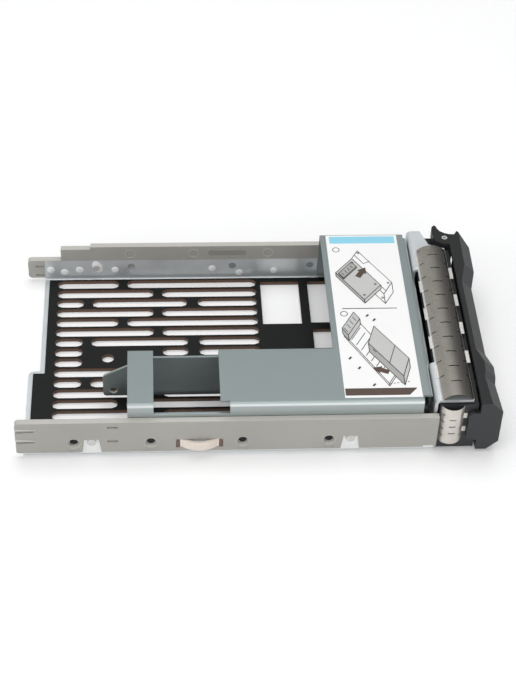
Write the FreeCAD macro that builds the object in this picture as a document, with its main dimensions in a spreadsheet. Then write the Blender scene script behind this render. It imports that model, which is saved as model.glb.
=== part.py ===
"""Hot swap drive caddy with a 2.5 inch adapter, in millimetres.

X runs along the rails with the bezel at +X, Y runs across with the near rail at -Y, and Z is up.
Sizes are laid out from the middle of the rails; every finished piece is then moved back by
origin_place, so that the origin lies on solid steel on the centre line of the tray's underside.
"""
import FreeCAD, Part
import math
import os
import Sketcher
from FreeCAD import Placement, Rotation, Vector

doc = FreeCAD.newDocument("drive_caddy")
sheet = doc.addObject("Spreadsheet::Sheet", "sizes")
finished = []


# ---------------------------------------------------------------- sizes in the sheet
class Size:
    """A number that also carries the sheet expression that gives it."""

    def __init__(self, value, text):
        self.value = value
        self.text = text

    def __add__(self, other):
        other = as_size(other)
        return Size(self.value + other.value, f"({self.text} + {other.text})")

    def __radd__(self, other):
        return as_size(other) + self

    def __sub__(self, other):
        other = as_size(other)
        return Size(self.value - other.value, f"({self.text} - {other.text})")

    def __rsub__(self, other):
        return as_size(other) - self

    def __mul__(self, other):
        other = as_size(other)
        return Size(self.value * other.value, f"({self.text} * {other.text})")

    def __rmul__(self, other):
        return as_size(other) * self

    def __truediv__(self, other):
        other = as_size(other)
        return Size(self.value / other.value, f"({self.text} / {other.text})")

    def __neg__(self):
        return Size(-self.value, f"(0 - {self.text})")


def as_size(number):
    if isinstance(number, Size):
        return number
    text = f"{abs(number):.6f}"
    return Size(float(number), text if number >= 0 else f"(0 - {text})")


def size(alias, value):
    """Write one driving dimension into the sheet and return it."""
    row = size.rows = getattr(size, "rows", 0) + 1
    sheet.set(f"A{row}", alias)
    sheet.set(f"B{row}", str(value))
    sheet.setAlias(f"B{row}", alias)
    return Size(float(value), f"sizes.{alias}")


def root(number):
    return Size(math.sqrt(number.value), f"sqrt({number.text})")


origin_place = size("origin_place", 24.0)         # the origin's place in front of the rails' middle

# Tray: a folded steel pan between two moulded rails.
steel = size("steel", 1.2)                        # sheet thickness of the pan
bend = size("bend", 0.8)                          # inner radius of its folds
film = size("film", 0.6)                          # black insulating film on the floor
rail_length = size("rail_length", 165.4)
drive_width = size("drive_width", 101.6)          # 3.5 inch drive between the rails
lip_clear = size("lip_clear", 0.2)                # drive to rail lip, each side
wall_clear = size("wall_clear", 0.4)              # drive to pan wall, each side
rail_skin = size("rail_skin", 1.2)                # rail outside the pan wall
rail_top = size("rail_top", 19.5)
rail_foot = size("rail_foot", 2.4)
wall_top = size("wall_top", 12.0)                 # height of the pan's side walls
pan_rear = size("pan_rear", 7.1)                  # far rear edge of the pan from the rail's end
pan_rear_step = size("pan_rear_step", 4.7)        # how much further the near part reaches
step_place = size("step_place", 6.0)              # where that step is, short of the middle
tip_height = size("tip_height", 12.1)             # low rear end of the far rail
tip_length = size("tip_length", 14.4)
mid_height = size("mid_height", 18.2)             # second step of the far rail
mid_length = size("mid_length", 12.8)

# Front wall of the pan and the flange that carries the gasket.
front_gap = size("front_gap", 0.6)                # pan's front face short of the rail's end
front_height = size("front_height", 25.9)
flange_length = size("flange_length", 15.1)
flange_near = size("flange_near", 50.3)
flange_far = size("flange_far", 52.2)

# Floor slots.
slot_width = size("slot_width", 5.0)
slot_pitch = size("slot_pitch", 6.05)
slot_first = size("slot_first", 46.73)            # centre line of the farthest row
slot_left = size("slot_left", 12.6)               # rear end of the rows from the rail's end
slot_right = size("slot_right", 16.2)             # front end of the rows from the middle
bridge = size("bridge", 3.2)                      # steel left between two slots of a row

# Adapter bracket for a 2.5 inch drive.
plate = size("plate", 1.0)                        # its sheet
plate_bend = size("plate_bend", 0.6)
adapter_top = size("adapter_top", 26.0)
small_drive = size("small_drive", 69.85)          # width of the drive that it takes
small_clear = size("small_clear", 0.25)
block_rear = size("block_rear", 43.2)
block_front = size("block_front", 80.3)
bridge_rear = size("bridge_rear", -2.9)           # rear edge of the side plate
strap_rear = size("strap_rear", -39.0)
strap_width = size("strap_width", 10.1)
fin_rear = size("fin_rear", -49.3)                # rear tip of the inner wall
fin_low = size("fin_low", 12.9)                   # height of that tip
fin_high = size("fin_high", 18.5)
fin_cut = size("fin_cut", 22.9)                   # wall height between strap and side plate
near_cut = size("near_cut", 21.0)

# Drive interfaces.
side_hole_rise = size("side_hole_rise", 6.35)     # 3.5 inch side holes above the drive's base
side_hole_pitch = size("side_hole_pitch", 101.6)
side_hole_rear = size("side_hole_rear", -53.2)
small_hole_rise = size("small_hole_rise", 3.0)    # 2.5 inch side holes
small_hole_pitch = size("small_hole_pitch", 76.6)
small_hole_rear = size("small_hole_rear", -45.2)
small_hole = size("small_hole", 3.2)
screw_hole = size("screw_hole", 3.4)
stud = size("stud", 3.0)

# Gaskets.
gasket_sheet = size("gasket_sheet", 0.3)
arch_width = size("arch_width", 12.8)
arch_rise = size("arch_rise", 3.2)
arch_length = size("arch_length", 89.2)
finger_pitch = size("finger_pitch", 8.4)
slit = size("slit", 0.5)
side_arch_width = size("side_arch_width", 9.2)
side_arch_rise = size("side_arch_rise", 2.8)
side_arch_height = size("side_arch_height", 18.6)

# Bezel, handle and hinge.
wall = size("wall", 1.8)                          # moulded walls
frame_front = size("frame_front", 98.0)
frame_near = size("frame_near", 51.4)
frame_far = size("frame_far", 41.0)               # full height up to here, low beyond
frame_foot = size("frame_foot", 0.8)
run_gap = size("run_gap", 0.4)                    # clearance between parts that move
handle_rear = size("handle_rear", 98.6)
handle_front = size("handle_front", 107.6)
handle_waist = size("handle_waist", 105.0)
handle_foot = size("handle_foot", 1.4)
handle_top = size("handle_top", 26.8)
handle_near = size("handle_near", 53.6)
bevel = size("bevel", 4.5)
pin_x = size("pin_x", 96.8)
pin_y = size("pin_y", 46.6)
pin_size = size("pin_size", 2.4)
pin_clear = size("pin_clear", 0.05)               # radial running clearance
ear = size("ear", 4.0)                            # thickness of the handle's ears
knuckle = size("knuckle", 8.0)

# Release lever in the handle's near end.
lever_x = size("lever_x", 101.6)
lever_y = size("lever_y", -32.4)
lever_pin = size("lever_pin", 2.0)
lever_hub = size("lever_hub", 4.6)
lever_height = size("lever_height", 12.6)
pad_length = size("pad_length", 10.6)
wire = size("wire", 0.6)

# Worked out from the sizes above.
floor = steel + film
rail_rear = -rail_length / 2
rail_front = rail_length / 2
lip = drive_width / 2 + lip_clear
wall_in = drive_width / 2 + wall_clear
wall_out = wall_in + steel
rail_out = wall_out + rail_skin
steel_rear = rail_rear + pan_rear
step_rear = steel_rear - pan_rear_step
front_out = rail_front - front_gap
front_in = front_out - steel
half = drive_width / 2
hole_height = floor + side_hole_rise
hole_front = side_hole_rear + side_hole_pitch
doc.recompute()


# ---------------------------------------------------------------- modelling helpers
def move_to_origin(feature):
    feature.Placement = Placement(Vector(-origin_place.value, 0, 0), Rotation())
    feature.setExpression("Placement.Base.x", (-origin_place).text)


def blank_body(label):
    """A body that a later feature still cuts."""
    return doc.addObject("PartDesign::Body", label)


def new_body(label):
    body = blank_body(label)
    body.Label = label
    move_to_origin(body)
    finished.append(body)
    return body


def origin_plane(body, name):
    for feature in body.Origin.OriginFeatures:
        if feature.Role == name:
            return feature
    raise ValueError(name)


def sketch_on(body, plane_name, offset):
    """A sketch on one of the body's own planes, moved along the plane's normal."""
    sketch = body.newObject("Sketcher::SketchObject", "sketch")
    sketch.AttachmentSupport = [(origin_plane(body, plane_name), "")]
    sketch.MapMode = "FlatFace"
    offset = as_size(offset)
    sketch.AttachmentOffset = Placement(Vector(0, 0, offset.value), Rotation())
    sketch.setExpression("AttachmentOffset.Base.z", offset.text)
    return sketch


def pin_point(sketch, found, geometry, point, place):
    """Note the two distance constraints that tie a point to the sketch's origin."""
    for kind, length in zip(("DistanceX", "DistanceY"), place):
        length = as_size(length)
        found.append((Sketcher.Constraint(kind, -1, 1, geometry, point, length.value), length.text))


def bind(sketch, found):
    first = sketch.ConstraintCount
    sketch.addConstraint([constraint for constraint, text in found])
    for index, (constraint, text) in enumerate(found):
        if text:
            sketch.setExpression(f"Constraints[{first + index}]", text)


def draw_polygon(sketch, points):
    start = sketch.GeometryCount
    flat = [Vector(as_size(x).value, as_size(y).value, 0) for x, y in points]
    count = len(flat)
    lines = [Part.LineSegment(flat[i], flat[(i + 1) % count]) for i in range(count)]
    sketch.addGeometry(lines, False)
    found = []
    for i in range(count):
        following = start + (i + 1) % count
        found.append((Sketcher.Constraint("Coincident", start + i, 2, following, 1), None))
    for i, place in enumerate(points):
        pin_point(sketch, found, start + i, 1, place)
    bind(sketch, found)


def draw_circle(sketch, centre, diameter):
    start = sketch.GeometryCount
    middle = Vector(as_size(centre[0]).value, as_size(centre[1]).value, 0)
    radius = as_size(diameter) / 2
    sketch.addGeometry(Part.Circle(middle, Vector(0, 0, 1), radius.value), False)
    found = [(Sketcher.Constraint("Radius", start, radius.value), radius.text)]
    pin_point(sketch, found, start, 3, centre)
    bind(sketch, found)


def draw_slot(sketch, left, right, height, width):
    """A slot along the sketch's first axis, with each round end drawn as short straight runs."""
    radius = as_size(width) / 2
    runs = 4
    points = []
    for centre, start in ((as_size(right) - radius, -math.pi / 2), (as_size(left) + radius, math.pi / 2)):
        for step in range(runs + 1):
            turn = start + math.pi * step / runs
            points.append((centre + radius * math.cos(turn), height + radius * math.sin(turn)))
    draw_polygon(sketch, points)


NORMAL = {"XY_Plane": 1, "XZ_Plane": -1, "YZ_Plane": 1}


def prism(body, plane_name, low, high, draw, cut=False):
    """Pad or pocket what draw(sketch) draws, between two places along the plane's world axis."""
    low = as_size(low)
    high = as_size(high)
    offset = low if NORMAL[plane_name] > 0 else -high
    sketch = sketch_on(body, plane_name, offset)
    draw(sketch)
    feature = body.newObject("PartDesign::Pocket" if cut else "PartDesign::Pad", "cut" if cut else "pad")
    feature.Profile = sketch
    length = high - low
    feature.Length = length.value
    feature.setExpression("Length", length.text)
    feature.Reversed = cut
    sketch.Visibility = False
    before = body.Shape.Volume if cut and body.Shape and not body.Shape.isNull() else None
    doc.recompute()
    if before is not None and body.Shape.Volume > before - 1e-6:
        raise ValueError(f"a cut of {body.Label} removes nothing")
    return feature


def polygon(*points):
    return lambda sketch: draw_polygon(sketch, points)


def rectangle(x0, y0, x1, y1):
    return polygon((x0, y0), (x1, y0), (x1, y1), (x0, y1))


def circles(places, diameter):
    def draw(sketch):
        for place in places:
            draw_circle(sketch, place, diameter)
    return draw


def ring_points(x, y, diameter, sides):
    radius = as_size(diameter) / 2
    turns = [2 * math.pi * (step + 0.5) / sides for step in range(sides)]
    return [(x + radius * math.cos(turn), y + radius * math.sin(turn)) for turn in turns]


def rings(places, diameter, sides=10):
    """Small round shapes drawn with short straight sides."""
    def draw(sketch):
        for x, y in places:
            draw_polygon(sketch, ring_points(x, y, diameter, sides))
    return draw


def near(a, b, tolerance=0.02):
    return abs(a - as_size(b).value) < tolerance


def along(edge, axis):
    """True for a straight edge that runs along the axis named x, y or z."""
    if len(edge.Vertexes) != 2 or not isinstance(edge.Curve, (Part.Line, Part.LineSegment)):
        return False
    step = edge.Vertexes[1].Point - edge.Vertexes[0].Point
    return abs(abs(getattr(step, axis)) - step.Length) < 1e-5


def smooth(body, radius, choose, kind="Fillet"):
    """Fillet or chamfer the edges of the body's tip that choose(edge) picks."""
    base = body.Tip
    names = [f"Edge{i + 1}" for i, edge in enumerate(base.Shape.Edges) if choose(edge)]
    if not names:
        raise ValueError(f"no edge to round on {body.Label}")
    feature = body.newObject(f"PartDesign::{kind}", kind.lower())
    feature.Base = (base, names)
    radius = as_size(radius)
    name = "Radius" if kind == "Fillet" else "Size"
    setattr(feature, name, radius.value)
    feature.setExpression(name, radius.text)
    doc.recompute()
    return feature


def bound(feature, **values):
    """Set properties of a Part primitive and tie each to the sheet."""
    for name, number in values.items():
        number = as_size(number)
        setattr(feature, name, number.value)
        feature.setExpression(name, number.text)
    return feature


def place(feature, x, y, z, rotation=None):
    spots = [as_size(number) for number in (x, y, z)]
    feature.Placement = Placement(Vector(*[spot.value for spot in spots]), rotation or Rotation())
    for axis, spot in zip("xyz", spots):
        feature.setExpression(f"Placement.Base.{axis}", spot.text)
    return feature


def block(x0, x1, y0, y1, z0, z1):
    box = doc.addObject("Part::Box", "block")
    bound(box, Length=as_size(x1) - x0, Width=as_size(y1) - y0, Height=as_size(z1) - z0)
    return place(box, x0, y0, z0)


def rod(radius, height, x, y, z, rotation=None):
    cylinder = doc.addObject("Part::Cylinder", "rod")
    bound(cylinder, Radius=radius, Height=height)
    return place(cylinder, x, y, z, rotation)


def boolean(kind, base, tool):
    feature = doc.addObject(f"Part::{kind}", kind.lower())
    feature.Base = base
    feature.Tool = tool
    return feature


def fused(shapes):
    feature = doc.addObject("Part::MultiFuse", "fused")
    feature.Shapes = shapes
    return feature


def finish(feature, label):
    """Name a finished piece; a compound around it carries its placement."""
    part = doc.addObject("Part::Compound", "piece")
    part.Links = [feature]
    part.Label = label
    move_to_origin(part)
    finished.append(part)
    doc.recompute()


ALONG_Y = Rotation(Vector(1, 0, 0), -90)          # turns a primitive's own Z to +Y


# ---------------------------------------------------------------- tray floor pattern
column_a = rail_rear + slot_left
column_g = column_a + 11.8
column_h = column_g + bridge
column_b = column_a + 26.7
column_c = column_b + bridge
column_d = column_a + 41.7
column_e = column_d + bridge
column_i = column_a + 56.1
column_j = column_i + 4.2
ROW_SHORT = ((column_a, column_b), (column_c, slot_right))
ROW_LONG = ((column_a, column_d), (column_e, slot_right))
ROW_THREE = ((column_a, column_g), (column_h, column_i), (column_j, slot_right))
ROW_ORDER = (ROW_SHORT, ROW_LONG, ROW_THREE, ROW_LONG)
ROW_BROKEN = {7: ((column_a, column_g), (column_e, column_i), (column_j, slot_right)),
              8: ((column_a, column_g), (column_e, slot_right))}
ROW_COUNT = 16
window_rear = slot_right + 1.8
window_far = slot_first + 0.6
WINDOWS = (
    (window_rear, window_far - 27, window_rear + 16.8, window_far),
    (window_rear + 20.6, window_far - 26.4, window_rear + 38, window_far),
    (window_rear + 21, window_far - 42.2, window_rear + 38, window_far - 30.5),
    (window_rear, -35, window_rear + 16.8, -17),
    (window_rear + 21, -35, window_rear + 38, -17),
)


def floor_cutter():
    """All the slots, windows and the round hole of the floor, as tall prisms."""
    draws = []
    for row in range(ROW_COUNT):
        draws.append((slot_first - slot_pitch * row, ROW_BROKEN.get(row, ROW_ORDER[row % 4])))
    prisms = []
    for height, spans in draws:
        sketch = doc.addObject("Sketcher::SketchObject", "slot_row")
        for left, right in spans:
            draw_slot(sketch, left, right, height, slot_width)
        prisms.append(stand(sketch))
    sketch = doc.addObject("Sketcher::SketchObject", "windows")
    for x0, y0, x1, y1 in WINDOWS:
        draw_polygon(sketch, ((x0, y0), (x1, y0), (x1, y1), (x0, y1)))
    draw_circle(sketch, (column_g + 10.5, slot_first - slot_pitch * 7.6), 5.1)
    prisms.append(stand(sketch))
    cutter = doc.addObject("Part::Compound", "floor_cutter")
    cutter.Links = prisms
    doc.recompute()
    return cutter


def stand(sketch):
    """A standing prism of a sketch, from well under the floor to well above it."""
    prism_feature = doc.addObject("Part::Extrusion", "cutter")
    prism_feature.Base = sketch
    prism_feature.DirMode = "Normal"
    prism_feature.Solid = True
    prism_feature.Symmetric = True
    bound(prism_feature, LengthFwd=floor * 4)
    return prism_feature


# ---------------------------------------------------------------- tray pan
STAKES_REAR = ((-73.0, 6.8), (-67.1, 5.3), (-60.6, 6.6), (-45.1, 6.4))
STAKES_FRONT = ((-2.8, 6.7), (9.0, 4.2), (24.3, 5.2), (66.0, 6.0))
STAKES = STAKES_REAR + STAKES_FRONT
STAKES_NEAR = (STAKES[0], STAKES[3], STAKES[4], STAKES[7])
SCREW_PLACES = (-60.2, -30.1, 5.9, 39.9)
stake = size("stake", 2.4)
frame_screw_y = size("frame_screw_y", 40.0)
frame_screw_z = size("frame_screw_z", 12.0)
frame_rear = size("frame_rear", 82.9)
flange_front = front_in + flange_length
vent_near = size("vent_near", 29.0)
vent_far = size("vent_far", 27.0)
stud_places = [(side_hole_rear, hole_height), (hole_front, hole_height)]
screw_places = [(x, hole_height) for x in SCREW_PLACES]
doc.recompute()


def tray_pan(cutter):
    body = blank_body("folded_pan")
    prism(body, "YZ_Plane", step_rear, front_out, polygon(
        (-wall_out, 0), (wall_out, 0), (wall_out, wall_top), (wall_in, wall_top),
        (wall_in, steel), (-wall_in, steel), (-wall_in, wall_top), (-wall_out, wall_top)))
    smooth(body, bend + steel, lambda e: along(e, "x") and near(e.BoundBox.ZMax, 0))
    smooth(body, bend, lambda e: along(e, "x") and near(e.BoundBox.ZMax, steel)
           and near(abs(e.BoundBox.YMax), wall_in))
    # The far part of the rear edge stands further forward, with a round step between.
    prism(body, "XY_Plane", -1, wall_top + 1, polygon(
        (step_rear - 1, -step_place), (steel_rear, -step_place),
        (steel_rear, wall_out + 1), (step_rear - 1, wall_out + 1)), cut=True)
    smooth(body, pan_rear_step / 2, lambda e: along(e, "z") and near(e.BoundBox.YMax, -step_place)
           and near(e.BoundBox.XMax, step_rear))
    # Front wall with the gasket flange folded forward along its top.
    prism(body, "XZ_Plane", -flange_near, flange_far, polygon(
        (front_in, 0), (front_out, 0), (front_out, front_height - steel),
        (flange_front, front_height - steel), (flange_front, front_height),
        (front_in, front_height)))
    smooth(body, bend + steel, lambda e: along(e, "y") and near(e.BoundBox.XMax, front_in)
           and near(e.BoundBox.ZMax, front_height))
    smooth(body, bend, lambda e: along(e, "y") and near(e.BoundBox.XMax, front_out)
           and near(e.BoundBox.ZMax, front_height - steel))
    prism(body, "XY_Plane", front_height - steel - 1, front_height + 1, polygon(
        (front_out + 4.6, flange_far + 1), (front_out + 4.6, flange_far),
        (front_out + 7.4, flange_far - 9), (flange_front + 1, flange_far - 12),
        (flange_front + 1, flange_far + 1)), cut=True)
    # Air windows below and a long clip slot along the fold.
    rib = 3.0
    bay = (vent_near + vent_far - 2 * rib) / 3
    for i in range(3):
        low = -vent_near + (bay + rib) * i
        prism(body, "YZ_Plane", front_in - 1, front_out + 1,
              rectangle(low, floor + 2.6, low + bay, front_height - 8), cut=True)
    prism(body, "YZ_Plane", front_in - 1, front_out + 1,
          rectangle(-vent_near, front_height - 6, vent_far, front_height + 1), cut=True)
    # Notches of the front wall over the rails, and the frame's screw holes.
    prism(body, "YZ_Plane", front_in - 1, front_out + 1,
          rectangle(lip - 0.2, wall_top, flange_far + 1, rail_top + 0.4), cut=True)
    prism(body, "YZ_Plane", front_in - 1, front_out + 1, circles(
        [(-frame_screw_y, frame_screw_z), (frame_screw_y, frame_screw_z)], screw_hole), cut=True)
    # Side wall holes: heat stakes of the rails, drive studs and screws.
    for low, high, stakes in ((-wall_out - 1, -wall_in + 1, STAKES_NEAR), (wall_in - 1, wall_out + 1, STAKES)):
        prism(body, "XZ_Plane", low, high, rings(stakes, stake), cut=True)
        prism(body, "XZ_Plane", low, high, rings(stud_places, stud), cut=True)
    prism(body, "XZ_Plane", -wall_out - 1, -wall_in + 1, rings(screw_places, screw_hole), cut=True)
    prism(body, "XZ_Plane", wall_in - 1, wall_out + 1, rings(
        [(-38.1, hole_height), (5.9, hole_height), (39.9, hole_height)], screw_hole), cut=True)
    finish(boolean("Cut", body, cutter), "tray_pan")


def base_insulator(cutter):
    body = blank_body("film_sheet")
    margin = 1.9
    side = wall_in - bend - 0.4
    prism(body, "XY_Plane", steel, floor, polygon(
        (step_rear + margin, -side), (front_in - 0.3, -side), (front_in - 0.3, side),
        (steel_rear + margin, side), (steel_rear + margin, -step_place - margin),
        (step_rear + margin, -step_place - margin)))
    finish(boolean("Cut", body, cutter), "base_insulator")


# ---------------------------------------------------------------- rails
def rail(label, side):
    """A moulded rail; side is -1 for the near one and 1 for the far one, which steps down."""
    body = new_body(label)

    def across(place):
        return place if side > 0 else -place

    def span(low, high):
        return (low, high) if side > 0 else (-high, -low)

    def cut(low, high, draw):
        first, last = span(as_size(low), as_size(high))
        prism(body, "XZ_Plane", first, last, draw, cut=True)

    prism(body, "YZ_Plane", rail_rear, rail_front, polygon(
        (across(wall_out), rail_foot), (across(rail_out - 0.7), rail_foot),
        (across(rail_out), rail_foot + 1.2), (across(rail_out), rail_top),
        (across(lip), rail_top), (across(lip), wall_top), (across(wall_out), wall_top)))
    # The rail's rear end is solid up to where the pan's side wall starts.
    wall_start = steel_rear if side > 0 else step_rear
    first, last = span(lip, wall_out)
    prism(body, "XZ_Plane", first, last, rectangle(rail_rear, rail_foot, wall_start, wall_top))
    if side > 0:
        cut(lip - 1, rail_out + 1, polygon(
            (rail_rear - 1, tip_height), (rail_rear + tip_length, tip_height),
            (rail_rear + tip_length, mid_height),
            (rail_rear + tip_length + mid_length, mid_height),
            (rail_rear + tip_length + mid_length, rail_top + 1), (rail_rear - 1, rail_top + 1)))
        ends = (rail_foot, tip_height)
    else:
        ends = (rail_foot, rail_top)
    smooth(body, 1.6, lambda e: along(e, "y") and near(e.BoundBox.XMax, rail_rear)
           and (near(e.BoundBox.ZMax, ends[0]) or near(e.BoundBox.ZMax, ends[1])))
    # Lead-in grooves at the rear end of the outer face.
    if side < 0:
        for height in (15.3, 9.4):
            cut(rail_out - 0.7, rail_out + 1, polygon(
                (rail_rear - 1, height - 1.1), (rail_rear + 7.5, height - 0.6),
                (rail_rear + 7.5, height + 0.6), (rail_rear - 1, height + 1.1)))
    else:
        for height in (8.8, 3.9):
            cut(lip - 1, lip + 0.7, rectangle(-79.4, height - 0.5, -75.2 - 0.6, height + 0.5))
        for x in (-38.4, -11.0, 21.3):
            cut(lip - 1, lip + 0.2, circles([(x, 15.6)], 4.2))
    # Countersunk screw holes, each with a small relief in the bottom edge.
    cut(wall_out - 1, rail_out + 1, circles(screw_places, screw_hole))
    smooth(body, 0.8, lambda e: isinstance(e.Curve, Part.Circle) and near(e.Curve.Radius, screw_hole / 2)
           and near(abs(e.Curve.Center.y), rail_out), kind="Chamfer")
    for x in SCREW_PLACES:
        cut(rail_out - 0.6, rail_out + 1, rectangle(x - 2, rail_foot - 1, x + 2, rail_foot + 2.4))
    # Tapered openings over the drive studs, open at the bottom edge.
    for x, height in stud_places:
        cut(wall_out - 0.01, rail_out + 1, polygon(
            (x - 3.9, rail_foot - 1), (x + 3.9, rail_foot - 1), (x + 2.9, height + 2), (x - 2.9, height + 2)))
    # Window for the side spring, two marking slits and a notch at the front foot.
    cut(wall_out - 0.01, rail_out + 1, rectangle(spring_rear, spring_low, spring_front, spring_high))
    for height in (16.85, 9.2):
        cut(rail_out - 0.8, rail_out + 1, rectangle(-47, height - 0.5, -42.9, height + 0.5))
    cut(wall_out - 0.01, rail_out + 1, rectangle(77.6, rail_foot - 1, 82, rail_foot + 1.6))
    # Heat stakes through the pan's wall.
    first, last = span(wall_in - 0.3, wall_out)
    prism(body, "XZ_Plane", first, last, rings(STAKES if side > 0 else STAKES_NEAR, stake))


spring_rear = size("spring_rear", -20.3)
spring_front = size("spring_front", -1.8)
spring_low = size("spring_low", 5.0)
spring_high = size("spring_high", 9.7)
spring_bow = size("spring_bow", 2.0)
spring_leaf = size("spring_leaf", 0.9)
doc.recompute()


def side_spring(label, side):
    """A bowed plastic leaf caught by its ends in the rail's window."""
    height = spring_high - spring_low - 0.4
    low = spring_low + 0.2
    length = spring_front - spring_rear - 2.4
    centre = (spring_front + spring_rear) / 2
    rise = spring_bow + rail_skin - 0.1
    radius = (length * length / 4 + rise * rise) / (2 * rise)
    base = wall_out + 0.05
    axis = base + rise - radius
    if side < 0:
        axis = -axis
    outer = rod(radius, height, centre, axis, low)
    inner = rod(radius - spring_leaf, height + 2, centre, axis, low - 1)
    ring = boolean("Cut", outer, inner)
    if side > 0:
        slab = block(centre - length / 2, centre + length / 2, base, base + rise + 1, low, low + height)
    else:
        slab = block(centre - length / 2, centre + length / 2, -base - rise - 1, -base, low, low + height)
    leaf = boolean("Common", ring, slab)
    first = base if side > 0 else -base - spring_leaf
    feet = [block(spring_rear + 0.2, spring_rear + 2.4, first, first + spring_leaf, low, low + height),
            block(spring_front - 2.4, spring_front - 0.2, first, first + spring_leaf, low, low + height)]
    finish(fused([leaf] + feet), label)


def peg(diameter, length, x, y, z):
    """A short twelve sided pin along +Y."""
    pin = doc.addObject("Part::Prism", "peg")
    pin.Polygon = 12
    bound(pin, Circumradius=as_size(diameter) / 2, Height=length)
    return place(pin, x, y, z, ALONG_Y)


def drive_studs():
    """Four pale studs through the pan's walls that enter the side holes of what the tray carries."""
    studs = []
    head = 3.6
    for side in (-1, 1):
        for x, height in stud_places:
            inside = wall_in - 1.1
            shank = peg(stud - 0.1, steel + 1.1, x, inside if side > 0 else -wall_out, height)
            cap = peg(head, 0.8, x, wall_out if side > 0 else -wall_out - 0.8, height)
            studs.append(fused([shank, cap]))
    group = doc.addObject("Part::Compound", "studs")
    group.Links = studs
    finish(group, "drive_studs")


# ---------------------------------------------------------------- adapter for the smaller drive
fin_face = half - plate - small_drive - small_clear      # inner wall's face towards the drive, from +Y
doc.recompute()


def adapter_bracket():
    """One folded sheet: block over the front, side plate, strap, two outer walls and an inner wall."""
    body = new_body("adapter_bracket")
    fin = -(small_drive + small_clear - half + plate)     # face of the inner wall towards the drive
    back = fin - plate
    top = adapter_top - plate
    # Top plate with its bend reliefs.
    prism(body, "XY_Plane", top, adapter_top, polygon(
        (block_rear, half), (block_front - 1.4, half), (block_front - 1.4, half - 3.2),
        (block_front, half - 3.2), (block_front, 3.5 - half), (block_front - 3.7, 3.5 - half),
        (block_front - 3.7, -half), (0.8, -half), (0.8, 2.1 - half), (bridge_rear, 2.1 - half),
        (bridge_rear, fin - 0.8), (1.0, fin - 0.8), (1.0, fin), (block_rear, fin)))
    prism(body, "XY_Plane", top, adapter_top, rectangle(strap_rear, -half, strap_rear + strap_width, fin))
    # Far wall and near wall.
    prism(body, "XZ_Plane", half - plate, half, rectangle(
        block_rear, floor + 1.2, block_front - 1.4, adapter_top))
    near_end = block_front - 3.7
    strap_front = strap_rear + strap_width
    prism(body, "XZ_Plane", -half, plate - half, polygon(
        (strap_rear, floor), (near_end, floor), (near_end, adapter_top), (0.8, adapter_top),
        (0.8, near_cut), (strap_front, near_cut), (strap_front, adapter_top), (strap_rear, adapter_top)))
    # Inner wall, with its tapered rear end.
    prism(body, "XZ_Plane", back, fin, polygon(
        (fin_rear, floor + 0.1), (60, floor + 0.1), (60, adapter_top), (bridge_rear, adapter_top),
        (bridge_rear, fin_cut), (strap_front, fin_cut), (strap_front, adapter_top),
        (strap_rear, adapter_top), (strap_rear, fin_high), (fin_rear, fin_low)))
    smooth(body, 1.5, lambda e: along(e, "y") and near(e.BoundBox.XMax, fin_rear)
           and e.BoundBox.YMax < fin.value + 0.1)
    # Front wall, folded down from the block.
    prism(body, "YZ_Plane", block_front - plate, block_front, rectangle(
        6 - half, 16, half - 6, adapter_top))
    smooth(body, plate + 0.4, lambda e: along(e, "x") and near(e.BoundBox.ZMax, adapter_top)
           and near(abs(e.BoundBox.YMax), half))
    smooth(body, plate + 0.4, lambda e: along(e, "y") and near(e.BoundBox.ZMax, adapter_top)
           and near(e.BoundBox.XMax, block_front))
    # Holes: the tray's studs and screws, and the smaller drive's side screws.
    prism(body, "XZ_Plane", half - plate - 1, half + 1, rings([stud_places[1]], stud + 0.6), cut=True)
    prism(body, "XZ_Plane", -half - 1, plate - half + 1, rings(
        [stud_places[1]] + screw_places[1:], stud + 0.6), cut=True)
    small_height = floor + small_hole_rise
    prism(body, "XZ_Plane", back - 1, fin + 1, circles(
        [(small_hole_rear, small_height), (small_hole_rear + small_hole_pitch, small_height)],
        small_hole), cut=True)


def instruction_label():
    finish(block(block_rear + 2.4, block_front - 4.2, 2.5 - half, half - 1.4,
                 adapter_top, adapter_top + 0.15), "instruction_label")


# ---------------------------------------------------------------- spring finger gaskets
def arch_radius(width, rise):
    return (width * width / 4 + rise * rise) / (2 * rise)


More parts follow.
